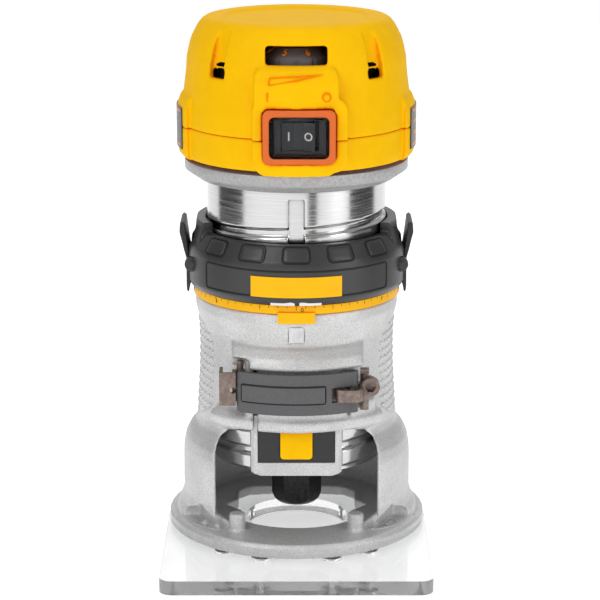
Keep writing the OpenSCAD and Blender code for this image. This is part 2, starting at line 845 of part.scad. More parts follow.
module commutator() {
    color(copper) difference() {
        tube(11.3, 5.02, 122, 138);
        for (i = [0:23]) rotate([0, 0, i * 15]) box([10.6, -0.25, 120], [12, 0.25, 140]);
    }
}

module cooling_fan() {
    color(black) {
        tube(9, 5.02, 52.4, 59.6);
        tube(24, 8.9, 57.8, 59.4);
        for (i = [0:12]) rotate([0, 0, i * 360 / 13]) box([14, -0.7, 52.4], [23.8, 0.7, 58]);
    }
}

module collet() {
    color(steel) difference() {
        union() {
            disc(5, 16, 34);
            rotate_extrude() polygon([[0, 12.9], [5.6, 12.9], [6, 13.8], [6, 15], [5, 16.4], [0, 16.4]]);
        }
        translate([0, 0, 12]) cylinder(r = shank_r, h = 30, $fn = 64);
        for (a = [45, 135]) rotate([0, 0, a]) box([-10, -0.3, 12], [10, 0.3, 24]);
    }
}

module collet_nut() {
    nut_r = nut_af / 2 / cos(30);
    color(dark_grey) difference() {
        intersection() {
            translate([0, 0, 12.2]) cylinder(r = nut_r, h = 20.8, $fn = 6);
            rotate_extrude() polygon([[0, 12.2], [7.6, 12.2], [9, 13.4], [nut_r + 0.1, 15.6],
                [nut_r + 0.1, 33], [0, 33]]);
        }
        disc(4.6, 10, 20);
        disc(6.2, 12.8, 26.2);
        disc(7.68, 25.9, 40);
    }
}

base_casting();
sub_base();
sub_base_screws();
guide_pin();
scale_ring();
toggle_link();
clamp_strap();
clamp_bar();
clamp_screw();
lever_pin();
link_pin();
clamp_lever();
adjusting_ring();
thread_teeth();
ring_plate();
tab_pins();
tab_springs();
release_tab_left();
release_tab_right();
motor_can();
motor_nose();
bearing_seal();
lock_panel();
lock_button();
lock_spring();
stator();
lower_bearing();
upper_bearing();
brush_bridge();
brush_tubes();
brushes();
brush_springs();
lower_housing();
upper_cap();
cap_screws();
switch_bezel();
switch_boot();
switch_body();
switch_rocker();
speed_module();
air_baffle();
speed_dial();
label_left();
label_right();
cord_grommet();
spindle();
armature();
commutator();
cooling_fan();
collet();
collet_nut();
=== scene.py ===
"""Looks of the trim router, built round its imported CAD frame. Metres, +X right, +Y back, +Z up."""

import json
import math

import bmesh
import bpy
from mathutils import Matrix, Vector


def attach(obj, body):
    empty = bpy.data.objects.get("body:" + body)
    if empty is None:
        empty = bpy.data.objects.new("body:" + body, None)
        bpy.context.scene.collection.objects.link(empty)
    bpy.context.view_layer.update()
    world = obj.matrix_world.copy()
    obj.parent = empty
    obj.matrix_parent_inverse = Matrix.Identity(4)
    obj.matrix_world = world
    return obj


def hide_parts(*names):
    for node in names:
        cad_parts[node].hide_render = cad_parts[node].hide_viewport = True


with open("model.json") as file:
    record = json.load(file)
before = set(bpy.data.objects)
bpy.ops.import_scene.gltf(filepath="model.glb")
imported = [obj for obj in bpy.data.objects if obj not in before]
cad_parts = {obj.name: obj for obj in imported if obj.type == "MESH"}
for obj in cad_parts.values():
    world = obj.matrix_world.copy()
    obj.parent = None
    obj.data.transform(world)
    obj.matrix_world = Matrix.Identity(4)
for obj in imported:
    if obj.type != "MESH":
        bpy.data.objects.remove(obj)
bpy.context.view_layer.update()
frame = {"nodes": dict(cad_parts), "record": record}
MM = 0.001
FRONT = -math.pi / 2
scene = bpy.context.scene
nodes = frame["nodes"]


# ------------------------------------------------------------------ materials

class Shader:
    """A principled material and short ways to add nodes to it."""

    def __init__(self, name, color, roughness=0.5, metallic=0.0, **sockets):
        self.material = bpy.data.materials.new(name)
        self.material.use_nodes = True
        self.tree = self.material.node_tree
        self.shader = self.tree.nodes["Principled BSDF"]
        self.set("Base Color", (*color, 1.0))
        self.set("Roughness", roughness)
        self.set("Metallic", metallic)
        for key, value in sockets.items():
            self.set(key.replace("_", " "), value)
        self.bump = None
        self.place = self.node("ShaderNodeTexCoord").outputs["Object"]

    def set(self, socket, value):
        self.shader.inputs[socket].default_value = value

    def node(self, kind, **values):
        made = self.tree.nodes.new(kind)
        for key, value in values.items():
            if key in made.inputs:
                made.inputs[key].default_value = value
            else:
                setattr(made, key, value)
        return made

    def link(self, source, target):
        self.tree.links.new(source, target)

    def stretched(self, scale):
        """The place on the object, scaled along each axis."""
        mapping = self.node("ShaderNodeMapping", Scale=scale)
        self.link(self.place, mapping.inputs["Vector"])
        return mapping.outputs["Vector"]

    def noise(self, scale, detail=3.0, rough=0.55, place=None):
        made = self.node("ShaderNodeTexNoise", Scale=scale, Detail=detail, Roughness=rough)
        self.link(place or self.place, made.inputs["Vector"])
        return made.outputs["Fac"]

    def cells(self, scale, feature="F1"):
        made = self.node("ShaderNodeTexVoronoi", Scale=scale)
        made.feature = feature
        self.link(self.place, made.inputs["Vector"])
        return made.outputs["Distance"]

    def ramp(self, source, stops):
        made = self.node("ShaderNodeValToRGB")
        elements = made.color_ramp.elements
        while len(elements) < len(stops):
            elements.new(0.5)
        for element, (place, color) in zip(elements, stops):
            element.position = place
            element.color = (*color, 1.0) if len(color) == 3 else color
        self.link(source, made.inputs["Fac"])
        return made.outputs["Color"]

    def greys(self, source, low, high, start=0.3, end=0.7):
        return self.ramp(source, [(start, (low,) * 3), (end, (high,) * 3)])

    def mix(self, factor, a, b, blend="MIX"):
        made = self.node("ShaderNodeMix")
        made.data_type = "RGBA"
        made.blend_type = blend
        for socket, value in ((made.inputs[0], factor), (made.inputs[6], a), (made.inputs[7], b)):
            if isinstance(value, bpy.types.NodeSocket):
                self.link(value, socket)
            elif isinstance(value, tuple):
                socket.default_value = (*value, 1.0)
            else:
                socket.default_value = value
        return made.outputs[2]

    def color_from(self, source):
        self.link(source, self.shader.inputs["Base Color"])

    def rough_from(self, source):
        self.link(source, self.shader.inputs["Roughness"])

    def bump_from(self, height, strength, distance):
        made = self.node("ShaderNodeBump", Strength=strength, Distance=distance)
        self.link(height, made.inputs["Height"])
        if self.bump:
            self.link(self.bump, made.inputs["Normal"])
        self.bump = made.outputs["Normal"]
        self.link(self.bump, self.shader.inputs["Normal"])
        return self

    def hollow_shade(self, distance, start=0.35, end=0.9):
        """Black in hollows and white in the open: a mask for painted shade that lies in corners."""
        made = self.node("ShaderNodeAmbientOcclusion", Distance=distance)
        made.samples = 6
        return self.ramp(made.outputs["AO"], [(start, (0, 0, 0)), (end, (1, 1, 1))])


def cast_alloy():
    """Sand-cast and blasted aluminium: pale, speckled and softly bumpy."""
    s = Shader("cast_alloy", (0.66, 0.66, 0.67), 0.5, 0.55)
    speck = s.greys(s.noise(2300, 4), 0.56, 0.80, 0.34, 0.66)
    broad = s.greys(s.noise(60, 3), 0.86, 1.0)
    s.color_from(s.mix(1.0, speck, broad, "MULTIPLY"))
    s.rough_from(s.greys(s.noise(900, 3), 0.42, 0.62))
    s.bump_from(s.noise(1500, 5), 0.45, 0.00022)
    return s.bump_from(s.cells(1100), 0.25, 0.0002).material


def machined_alloy():
    """Turned aluminium with fine lines round the can, and painted shade that darkens its grooves."""
    s = Shader("machined_alloy", (0.52, 0.52, 0.53), 0.2, 1.0)
    lines = s.noise(1.0, 4, 0.7, s.stretched((40, 40, 5200)))
    fine = s.greys(lines, 0.52, 0.66, 0.3, 0.7)
    # Painted shade: dark grey in the can's grooves and hollows.
    s.color_from(s.mix(s.hollow_shade(0.004, 0.25, 0.7), (0.16, 0.16, 0.165), fine))
    s.rough_from(s.greys(s.noise(1.0, 3, 0.6, s.stretched((60, 60, 2600))), 0.12, 0.26))
    return s.bump_from(lines, 0.02, 0.00002).material


def bell_alloy():
    """Matte grey cast metal of the bell under the housing."""
    s = Shader("bell_alloy", (0.42, 0.42, 0.43), 0.5, 0.5)
    grain = s.noise(900, 4, 0.6)
    s.color_from(s.greys(grain, 0.34, 0.46, 0.35, 0.65))
    s.rough_from(s.greys(s.noise(400, 3), 0.4, 0.52))
    return s.bump_from(grain, 0.25, 0.00005).material


def bright_steel(name="bright_steel", color=(0.62, 0.62, 0.63), rough=0.28):
    s = Shader(name, color, rough, 1.0)
    grain = s.noise(1.0, 4, 0.6, s.stretched((900, 900, 240)))
    s.color_from(s.mix(grain, tuple(0.78 * c for c in color), tuple(min(1, 1.15 * c) for c in color)))
    s.rough_from(s.greys(s.noise(420, 3), rough - 0.08, rough + 0.14))
    return s.bump_from(grain, 0.12, 0.0001).material


def bronzed_steel():
    """Brown oxidised steel, rubbed paler on its high spots."""
    s = Shader("bronzed_steel", (0.2, 0.15, 0.125), 0.42, 0.85)
    blotch = s.noise(520, 6, 0.65)
    s.color_from(s.ramp(blotch, [(0.25, (0.15, 0.112, 0.096)), (0.52, (0.23, 0.178, 0.155)),
                                 (0.78, (0.34, 0.28, 0.25))]))
    s.rough_from(s.greys(s.noise(900, 4), 0.32, 0.58))
    return s.bump_from(s.noise(1700, 4), 0.35, 0.00014).material


def black_oxide():
    s = Shader("black_oxide", (0.028, 0.028, 0.03), 0.38, 0.6)
    s.color_from(s.greys(s.noise(700, 4), 0.018, 0.045))
    s.rough_from(s.greys(s.noise(500, 4), 0.28, 0.48))
    return s.bump_from(s.noise(1800, 3), 0.15, 0.0001).material


def lever_paint():
    """Satin grey-black coating of the lever."""
    s = Shader("lever_paint", (0.10, 0.10, 0.104), 0.45, 0.25)
    s.color_from(s.mix(s.noise(900, 4), (0.082, 0.082, 0.086), (0.122, 0.122, 0.126)))
    s.rough_from(s.greys(s.noise(1300, 3), 0.40, 0.56))
    return s.bump_from(s.noise(2600, 3), 0.22, 0.00009).material


def moulded(name, color, rough, shade=None, grain=2600, depth=0.00006, crease=0.008, gloss=0.42):
    """Moulded plastic: a fine texture from the mould, and painted shade in its corners when a shade colour is
    given.
    """
    s = Shader(name, color, rough, 0.0, Specular_IOR_Level=gloss)
    light = tuple(min(1.0, 1.06 * c) for c in color)
    dark = tuple(0.90 * c for c in color)
    base = s.mix(s.noise(140, 3), dark, light)
    # Painted shade: the shade colour fills the hollows.
    if shade:
        base = s.mix(s.hollow_shade(crease, 0.30, 0.80), shade, base)
    s.color_from(base)
    s.rough_from(s.greys(s.noise(grain * 0.5, 3), rough - 0.05, rough + 0.08))
    return s.bump_from(s.noise(grain, 3), 0.30, depth).material


def clear_plate():
    s = Shader("clear_plate", (0.985, 0.99, 0.99), 0.03, 0.0, IOR=1.30, Transmission_Weight=0.92)
    s.rough_from(s.greys(s.noise(300, 4), 0.015, 0.06))
    return s.bump_from(s.noise(90, 2), 0.05, 0.00008).material


def clear_boot():
    s = Shader("clear_boot", (0.93, 0.94, 0.95), 0.05, 0.0, IOR=1.15, Transmission_Weight=1.0)
    s.rough_from(s.greys(s.noise(700, 4), 0.02, 0.07))
    return s.bump_from(s.noise(300, 3), 0.12, 0.0001).material


def wound(name, color, metallic, rough):
    """Wire, brass and other bare metal inside the motor."""
    s = Shader(name, color, rough, metallic)
    turns = s.noise(1.0, 2, 0.5, s.stretched((300, 300, 3000)))
    s.color_from(s.mix(turns, tuple(0.6 * c for c in color), color))
    return s.bump_from(turns, 0.3, 0.0002).material


def film():
    s = Shader("label_film", (0.030, 0.034, 0.038), 0.32, 0.0)
    s.color_from(s.mix(s.noise(400, 3), (0.026, 0.030, 0.034), (0.042, 0.046, 0.050)))
    s.rough_from(s.greys(s.noise(800, 2), 0.26, 0.40))
    return s.bump_from(s.noise(1500, 2), 0.08, 0.00004).material


ORANGE_SHADE = (0.90, 0.17, 0.0)
# The shade colours given to moulded plastics, ORANGE_SHADE among them, are painted shade for their hollows.
MAT = {
    "cast_alloy": cast_alloy(),
    "machined_alloy": machined_alloy(),
    "steel": bright_steel(),
    "bronzed_steel": bronzed_steel(),
    "black_steel": black_oxide(),
    "lever_black": lever_paint(),
    "black_plastic": moulded("black_plastic", (0.026, 0.026, 0.028), 0.42),
    "ring_plastic": moulded("ring_plastic", (0.040, 0.040, 0.042), 0.32, (0.006, 0.006, 0.006),
                            crease=0.003),
    "bell_alloy": bell_alloy(),
    "dial_plastic": moulded("dial_plastic", (0.14, 0.14, 0.142), 0.4, (0.02, 0.02, 0.02), crease=0.002),
    # Painted shade: near-black lines that stand in for the shade in grooves and round panels.
    "groove_black": moulded("groove_black", (0.004, 0.004, 0.004), 0.6),
    # Painted shade: deep orange that stands in for the shade along moulded marks.
    "mark_orange": moulded("mark_orange", (0.95, 0.27, 0.0), 0.6, gloss=0.1),
    "yellow_plastic": moulded("yellow_plastic", (1.0, 0.54, 0.0), 0.6, ORANGE_SHADE,
                              crease=0.012, gloss=0.08),
    "scale_plastic": moulded("scale_plastic", (1.0, 0.50, 0.0), 0.40, ORANGE_SHADE, crease=0.003, gloss=0.2),
    "orange_plastic": moulded("orange_plastic", (0.72, 0.13, 0.012), 0.30, (0.45, 0.05, 0.0),
                              crease=0.003),
    "clear_plastic": clear_plate(),
    "clear_rubber": clear_boot(),
    "label_film": film(),
    "rubber": moulded("rubber", (0.022, 0.022, 0.022), 0.68, grain=1500, depth=0.0001),
    "copper": wound("copper", (0.72, 0.32, 0.14), 0.9, 0.35),
    "brass": wound("brass", (0.72, 0.52, 0.22), 1.0, 0.3),
    "carbon": moulded("carbon", (0.03, 0.03, 0.032), 0.55),
    "board": moulded("board", (0.02, 0.12, 0.055), 0.45),
    "white_ink": moulded("white_ink", (0.80, 0.80, 0.78), 0.5),
    "black_ink": moulded("black_ink", (0.015, 0.013, 0.012), 0.5),
    "orange_ink": moulded("orange_ink", (0.95, 0.33, 0.03), 0.5),
}
slot_of = {part["node"]: part["material_slot"] for part in frame["record"]["subparts"]}


def finish_with(obj, name):
    obj.data.materials.clear()
    obj.data.materials.append(MAT[name])


# ------------------------------------------------------------------ pieces

def shade_smooth(obj, angle=35):
    for polygon in obj.data.polygons:
        polygon.use_smooth = True
    obj.data.set_sharp_from_angle(angle=math.radians(angle))


def soften(obj, width, segments=2, angle=32):
    """Rounds the sharp edges of a CAD node with a modifier, which leaves its mesh alone."""
    bevel = obj.modifiers.new("edges", "BEVEL")
    bevel.width = width * MM
    bevel.segments = segments
    bevel.limit_method = "ANGLE"
    bevel.angle_limit = math.radians(angle)
    bevel.harden_normals = True


BEVELS = {"sub_base": 0.4, "clamp_lever": 0.3,
          "toggle_link": 0.25, "clamp_strap": 0.3, "clamp_bar": 0.3, "clamp_screw": 0.3, "collet_nut": 0.5,
          "lock_button": 0.6, "lock_panel": 0.25, "switch_bezel": 0.4, "switch_rocker": 0.4,
          "switch_boot": 0.4, "motor_nose": 0.3, "speed_dial": 0.3, "scale_ring": 0.2, "lever_pin": 0.2}

for name, obj in nodes.items():
    finish_with(obj, slot_of[name])
    shade_smooth(obj)
    if name in BEVELS:
        soften(obj, BEVELS[name])


# Parts whose real edges are cast or moulded soft: voxel size and smoothing passes, in millimetres
SOFT_PARTS = {"base_casting": (0.62, 3), "upper_cap": (0.55, 4), "lower_housing": (0.5, 3),
              "adjusting_ring": (0.45, 3), "release_tab_left": (0.32, 3), "release_tab_right": (0.32, 3),
              "cord_grommet": (0.4, 3)}


def link_piece(obj, body, slot, smooth=True, angle=40):
    """Puts a finished piece in the scene, on its body and with its slot and material."""
    if obj.name not in scene.collection.objects:
        scene.collection.objects.link(obj)
    finish_with(obj, slot if slot in MAT else "steel")
    if smooth:
        shade_smooth(obj, angle)
    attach(obj, body)
    return obj


def baked(obj):
    """The object's mesh with its modifiers applied."""
    graph = bpy.context.evaluated_depsgraph_get()
    mesh = bpy.data.meshes.new_from_object(obj.evaluated_get(graph))
    obj.modifiers.clear()
    obj.data = mesh
    return obj


def soft_copy(name, voxel, passes):
    """A piece with the CAD node's shape and the round edges of a casting or moulding."""
    obj = bpy.data.objects.new("soft_" + name, nodes[name].data.copy())
    scene.collection.objects.link(obj)
    remesh = obj.modifiers.new("remesh", "REMESH")
    remesh.mode = "VOXEL"
    remesh.voxel_size = voxel * MM
    smooth = obj.modifiers.new("smooth", "SMOOTH")
    smooth.factor = 0.5
    smooth.iterations = passes
    return baked(obj)


def move_vertices(obj, change):
    """Moves each vertex by what change gives for its place and normal."""
    mesh = obj.data
    normals = [vertex.normal.copy() for vertex in mesh.vertices]
    for vertex, normal in zip(mesh.vertices, normals):
        vertex.co += normal * change(vertex.co, normal)
    mesh.update()


def polar(radius, azimuth, z):
    """A point in metres from millimetres; azimuth in radians, 0 at +X."""
    return Vector((radius * math.cos(azimuth), radius * math.sin(azimuth), z)) * MM


def on_cylinder(radius, azimuth, z):
    """Wraps a tile's plane round a cylinder: u along it, v up, h outwards."""
    return lambda u, v, h: polar(radius + h, azimuth + u / radius, z + v)


def on_cone(low, high, azimuth):
    """Wraps a tile round a cone, given by the (radius, z) of its lower and upper edge."""
    (r0, z0), (r1, z1) = low, high
    length = math.hypot(r1 - r0, z1 - z0)
    dr, dz = (r1 - r0) / length, (z1 - z0) / length
    mid_r, mid_z = (r0 + r1) / 2, (z0 + z1) / 2
    return lambda u, v, h: polar(mid_r + v * dr + h * dz, azimuth + u / mid_r, mid_z + v * dz - h * dr)


def on_front(x, y, z, tilt=0.0):
    """A flat tile that faces -Y, turned about the upright by tilt."""
    turn = Matrix.Rotation(tilt, 3, "Z")
    return lambda u, v, h: (Vector((x, y, z)) + turn @ Vector((u, -h, v))) * MM


def rounded(a, b, width, height, corner):
    """Maps a square's (a, b) to a rectangle with round corners."""
    u, v = a * width / 2, b * height / 2
    du = (abs(u) - (width / 2 - corner)) / corner
    dv = (abs(v) - (height / 2 - corner)) / corner
    if du > 0 and dv > 0:
        nu, nv = du * math.sqrt(1 - dv * dv / 2), dv * math.sqrt(1 - du * du / 2)
        u = math.copysign(width / 2 - corner + nu * corner, u)
        v = math.copysign(height / 2 - corner + nv * corner, v)
    return u, v


def tile(bm, place, width, height, thick, corner=0.6, edge=0.25, steps=(8, 4), sink=0.3):
    """Adds a raised tile with soft edges to bm, wrapped by place."""
    def stations(size, count):
        inner = 1 - 2 * edge / size
        rim = [(-1, -sink), (-1, thick - edge), (-1 + 0.6 * edge / size, thick - 0.3 * edge), (-inner, thick)]
        middle = [(-inner + 2 * inner * k / count, thick) for k in range(1, count)]
        return rim + middle + [(-a, h) for a, h in reversed(rim)]

    across, up = stations(width, steps[0]), stations(height, steps[1])
    grid = []
    for a, high_a in across:
        grid.append([])
        for b, high_b in up:
            u, v = rounded(a, b, width, height, min(corner, width / 2.01, height / 2.01))
            grid[-1].append(bm.verts.new(place(u, v, min(high_a, high_b))))
    for i in range(len(across) - 1):
        for j in range(len(up) - 1):
            bm.faces.new((grid[i][j], grid[i + 1][j], grid[i + 1][j + 1], grid[i][j + 1]))
    rim = [grid[i][0] for i in range(len(across))] + [grid[-1][j] for j in range(1, len(up))]
    rim += [grid[i][-1] for i in range(len(across) - 2, -1, -1)]
    rim += [grid[0][j] for j in range(len(up) - 2, 0, -1)]
    bm.faces.new(list(reversed(rim)))


def stroke(bm, place, points, width, thick, sink=0.2, closed=False):
    """Adds a raised line of even width through the points of a tile's plane."""
    count = len(points)
    rings = []
    for k, (u, v) in enumerate(points):
        before = points[k - 1] if k or closed else points[0]
        after = points[(k + 1) % count] if k < count - 1 or closed else points[-1]
        du, dv = after[0] - before[0], after[1] - before[1]
        size = math.hypot(du, dv) or 1.0
        nu, nv = -dv / size * width / 2, du / size * width / 2
        section = [(1, -sink), (1, thick * 0.6), (0.6, thick), (-0.6, thick), (-1, thick * 0.6), (-1, -sink)]
        rings.append([bm.verts.new(place(u + s * nu, v + s * nv, h)) for s, h in section])
    pairs = list(zip(rings, rings[1:])) + ([(rings[-1], rings[0])] if closed else [])
    for one, two in pairs:
        for k in range(len(one)):
            m = (k + 1) % len(one)
            bm.faces.new((one[k], one[m], two[m], two[k]))
    if not closed:
        bm.faces.new(rings[0])
        bm.faces.new(list(reversed(rings[-1])))


def piece_from(name, bm, body, slot, material=None, angle=40):
    bmesh.ops.recalc_face_normals(bm, faces=bm.faces)
    mesh = bpy.data.meshes.new(name)
    bm.to_mesh(mesh)
    bm.free()
    obj = link_piece(bpy.data.objects.new(name, mesh), body, slot, angle=angle)
    if material:
        finish_with(obj, material)
    return obj


def arc(cu, cv, radius, start, end, count=16):
    """Points of an arc in a tile's plane, angles in degrees."""
    step = math.radians(end - start) / count
    return [(cu + radius * math.cos(math.radians(start) + k * step),
             cv + radius * math.sin(math.radians(start) + k * step)) for k in range(count + 1)]


def box_outline(width, height, corner):
    """Points of a rectangle with round corners, its long sides cut into short steps so that they can bend."""
    half_u, half_v = width / 2 - corner, height / 2 - corner
    steps = max(2, round(width / 2))
    points = []
    for sign, first in ((1, 0), (-1, 180)):
        points += arc(sign * half_u, sign * half_v, corner, first, first + 90, 5)
        points += [(sign * half_u * (1 - 2 * k / steps), sign * height / 2) for k in range(1, steps)]
        points += arc(-sign * half_u, sign * half_v, corner, first + 90, first + 180, 5)
    return points


# Digits on a square of side 2, as strokes of points; generic numerals for the dial and the scale
DIGITS = {
    "0": [arc(0, 0, 1, 90, 450, 20)],
    "1": [[(-0.4, 0.6), (0.1, 1), (0.1, -1)]],
    "2": [arc(0, 0.45, 0.55, 160, -40, 10) + [(-0.6, -1), (0.65, -1)]],
    "3": [arc(0, 0.47, 0.53, 150, -80, 10), arc(0, -0.47, 0.55, 85, -150, 10)],
    "4": [[(0.35, -1), (0.35, 1), (-0.6, -0.35), (0.7, -0.35)]],
    "5": [[(0.5, 1), (-0.4, 1), (-0.45, 0.15)] + arc(0, -0.4, 0.6, 120, -150, 12)],
    "6": [[(0.35, 1), (-0.2, 0.5), (-0.55, -0.2)] + arc(0, -0.4, 0.58, 160, -200, 16)],
}


def digit(bm, place, text, size, width, thick):
    for points in DIGITS[text]:
        stroke(bm, place, [(u * size * 0.62, v * size) for u, v in points], width, thick)


# ---- base

GRIP_HALF = math.radians(33)


def grip_depth(place):
    """How far inside the grip panel a point of the barrel is: 0 outside, 1 well inside."""
    x, y, z = place / MM
    radius = math.hypot(x, y)
    if radius < 36.6 or not 47 < z < 92:
        return 0.0
    away = abs(math.atan2(y, abs(x)))
    top = 91 - 7.5 * (away / GRIP_HALF) ** 3
    low = 49.5 + 8 * (away / GRIP_HALF) ** 2
    inside = min((GRIP_HALF - away) * radius, top - z, z - low)
    return max(0.0, min(1.0, inside / 0.7))


def make_casting():
    body = soft_copy("base_casting", *SOFT_PARTS["base_casting"])
    move_vertices(body, lambda co, normal: -0.42 * MM * grip_depth(co) if normal.x * co.x > 0 else 0)
    link_piece(body, "base", "cast_alloy", angle=60)
    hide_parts("base_casting")
    bm = bmesh.new()
    pitch_z, pitch_a = 3.05, math.radians(5.3)
    for side in (0, math.pi):
        for row in range(16):
            z = 48 + row * pitch_z
            for k in range(-7, 8):
                azimuth = side + (k + 0.5 * (row % 2)) * pitch_a
                bump = polar(barrel_radius(z), azimuth, z)
                if grip_depth(bump) < 0.99 or grip_depth(polar(38, azimuth, z + 1.1)) < 0.99:
                    continue
                dome = bmesh.ops.create_icosphere(bm, subdivisions=2, radius=1.0)["verts"]
                turn = Matrix.Rotation(azimuth, 4, "Z") @ Matrix.Diagonal((0.75 * MM, 0.9 * MM, 0.9 * MM, 1))
                bmesh.ops.transform(bm, matrix=Matrix.Translation(bump) @ turn, verts=dome)
    piece_from("grip_bumps", bm, "base", "cast_alloy")
    make_recess_rims()
    make_cast_mark()


def make_recess_rims():
    """Low rims round the recesses with the edge guide holes."""
    bm = bmesh.new()
    for side in (-1, 1):
        turn = Matrix.Rotation(math.radians(39 * side), 3, "Z")
        place = lambda u, v, h: (Vector((33.2 * side, -26, 10.7)) + turn @ Vector((u, v, 0))
                                 + Vector((0, 0, h))) * MM
        outline = [(u, v) for u, v in box_outline(13.4, 7.2, 3.4)
                   if math.hypot(*(place(u, v, 0) / MM).xy) > 41.4]
        stroke(bm, place, outline, 0.7, 0.28)
    piece_from("recess_rims", bm, "base", "cast_alloy")


def make_cast_mark():
    """Small plain oval on the front of the ledge."""
    bm = bmesh.new()
    place = on_cone((42.9, 81.2), (41.2, 83.0), FRONT - math.radians(10.5))
    stroke(bm, place, [(2.1 * u, 0.62 * v) for u, v in arc(0, 0, 1, 0, 345, 22)], 0.35, 0.12, closed=True)
    piece_from("cast_mark", bm, "base", "cast_alloy")


def barrel_radius(z):
    """Outer radius of the barrel of the casting inside a grip panel."""
    points = [(46.8, 39.6), (50, 38.8), (56, 38.6), (68, 37.8), (78, 37.6), (86, 37.8), (91, 38.5),
              (94, 39.2)]
    for (z0, r0), (z1, r1) in zip(points, points[1:]):
        if z0 <= z <= z1:
            return r0 + (r1 - r0) * (z - z0) / (z1 - z0) - 0.5
    return points[0][1] - 0.5


# ---- motor can

CAN_R, CAN_BORE, CAN_FOOT = 34.5, 31.5, 34.2
# Height of the thread's middle at the front, its rise in a turn, its depth and where it ends
THREAD_Z, THREAD_LEAD, THREAD_DEPTH, THREAD_END = 128.5, 9.5, 1.2, 132.9
# Where the smooth wall starts, the height of one of its rings, and how many there are
WALL_START, WALL_STEP, WALL_RINGS = 35.4, 0.45, 244
# The bell above the wall, as (z, radius) from its foot over the rim to the bore, and the height it starts at
BELL = [(145.2, CAN_R), (145.21, 35.6), (144.4, 38), (147.8, 42.8), (151.4, 42.8), (151.41, 40.2),
        (153, 39.6), (153, 36), (150, 36), (150, CAN_BORE)]
BELL_STARTS = 0.1438


def can_radius(azimuth, z):
    """Outer radius of the straight part of the can, with its helical and upright grooves."""
    turn = math.degrees(azimuth - FRONT) % 360
    nearest = round((z - THREAD_Z - THREAD_LEAD * turn / 360) / THREAD_LEAD)
    from_thread = abs(z - THREAD_Z - THREAD_LEAD * (turn / 360 + nearest))
    depth = 0.0
    if z < THREAD_END:
        depth = THREAD_DEPTH * min(1.0, max(0.0, (2.0 - from_thread) / 0.9))
    across = abs(CAN_R * math.sin(azimuth - FRONT))
    if math.cos(azimuth - FRONT) > 0:
        if z < 141:
            depth = max(depth, 1.6 * min(1.0, max(0.0, (3.2 - across) / 0.4)))
        if z < 58.2 and across < 17.5:
            depth = max(depth, CAN_R - CAN_BORE - 0.2)
    return CAN_R - depth


def make_can():
    """The can as a fine turned surface, so that its helical groove runs clean."""
    bm = bmesh.new()
    count = 480
    wall = [(WALL_START + WALL_STEP * k, None) for k in range(WALL_RINGS)]
    stations = [(CAN_FOOT, 33.6)] + wall + BELL + [(CAN_FOOT, CAN_BORE)]
    rings = []
    for z, radius in stations:
        ring = []
        for k in range(count):
            azimuth = FRONT + 2 * math.pi * k / count
            ring.append(bm.verts.new(polar(can_radius(azimuth, z) if radius is None else radius, azimuth, z)))
        rings.append(ring)
    for low, high in zip(rings, rings[1:] + rings[:1]):
        for k in range(count):
            m = (k + 1) % count
            bm.faces.new((low[k], low[m], high[m], high[k]))
    can = piece_from("can_turned", bm, "motor", "machined_alloy", angle=70)
    can.data.materials.append(MAT["bell_alloy"])
    for face in can.data.polygons:
        face.material_index = int(face.center.z > BELL_STARTS)
    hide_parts("motor_can")


# ---- adjusting ring and depth scale

# Sloping shoulder of the ring that carries the pads, as the (radius, z) of its lower and upper edge
SHOULDER = (42.05, 118.4), (38.5, 124.2)

def make_ring():
    for name, body in (("adjusting_ring", "ring"), ("release_tab_left", "tab_left"),
                       ("release_tab_right", "tab_right")):
        obj = soft_copy(name, *SOFT_PARTS[name])
        link_piece(obj, body, slot_of[name], angle=50)
        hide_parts(name)
    bm = bmesh.new()
    for side in (-1, 1):
        for end in (-1, 1):
            place = on_front(side * 39.9, 14.3 * end, 111.9, 0 if end < 0 else math.pi)
            for radius, rise in ((2.9, 0.9), (1.5, 1.2)):
                tile(bm, place, 2 * radius, 2 * radius, rise, corner=radius, edge=0.3, sink=1.5)
    piece_from("ring_pin_bosses", bm, "ring", "ring_plastic")
    bm = bmesh.new()
    for middle in (FRONT, -FRONT):
        for k in range(-2, 3):
            azimuth = middle + k * math.radians(24)
            tile(bm, on_cone(*SHOULDER, azimuth), 9.0, 5.6, 0.5, corner=1.2, edge=0.3)
    piece_from("ring_pads", bm, "ring", "ring_plastic")
    # Painted shade: near-black lines round the pads for the shade in their grooves.
    bm = bmesh.new()
    for middle in (FRONT, -FRONT):
        for k in range(-2, 3):
            azimuth = middle + k * math.radians(24)
            stroke(bm, on_cone(*SHOULDER, azimuth), box_outline(10.2, 6.6, 1.6), 0.6, 0.22, closed=True)
    piece_from("ring_pad_groove_shade", bm, "ring", "ring_plastic", "groove_black")
    # Painted shade: a near-black line round the front and back panels for the shade at their edges.
    bm = bmesh.new()
    for middle in (FRONT, -FRONT):
        stroke(bm, on_cylinder(42.4, middle, 110.6), box_outline(79, 9.8, 1.4), 0.7, 0.2, closed=True)
    piece_from("ring_panel_outline_shade", bm, "ring", "ring_plastic", "groove_black")
    bm = bmesh.new()
    for low, high in ((-9.7, -0.6), (1.1, 9.5)):
        place = on_cylinder(41.35, FRONT + (low + high) / 2 / 41.35, 103.1)
        tile(bm, place, high - low, 1.5, 0.2, corner=0.2, edge=0.1)
    piece_from("scale_window_panes", bm, "ring", "scale_plastic", "white_ink")


